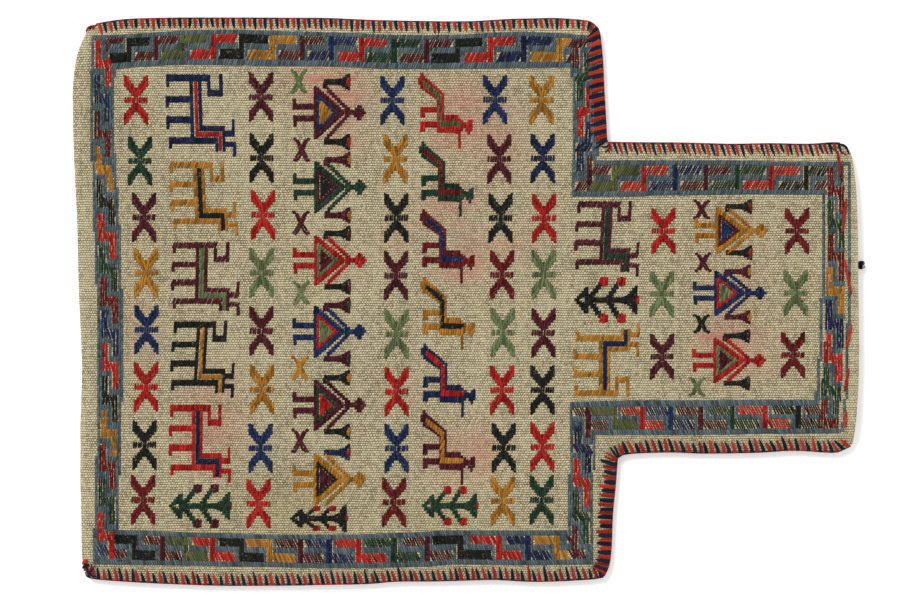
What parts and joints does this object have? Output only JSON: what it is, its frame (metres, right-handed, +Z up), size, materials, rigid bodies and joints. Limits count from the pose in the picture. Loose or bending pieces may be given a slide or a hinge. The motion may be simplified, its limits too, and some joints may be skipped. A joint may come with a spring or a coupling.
{
  "type": "kilim salt bag",
  "caption": "Flat-lying woven wool bag with a narrower open neck, raised brocaded motifs, overcast sides and a running stitch in the mouth hem.",
  "frame": {"origin": "centre of the bag's bounding box in plan, on the surface that the back layer lies on", "axes": "+X from the folded end towards the mouth, +Y across the bag, +Z up from the back layer to the front layer"},
  "size_m": [0.5758, 0.411, 0.0145],
  "materials": {
    "cloth": "matte",
    "overcast_yarn": "matte",
    "running_yarn": "matte",
    "dark_yarn": "matte"
  },
  "bodies": {
    "root": {"woven_bag": "cloth", "overcast_upper": "overcast_yarn", "overcast_lower": "overcast_yarn", "running_stitch": "running_yarn", "yarn_end": "dark_yarn"}
  },
  "joints": []
}
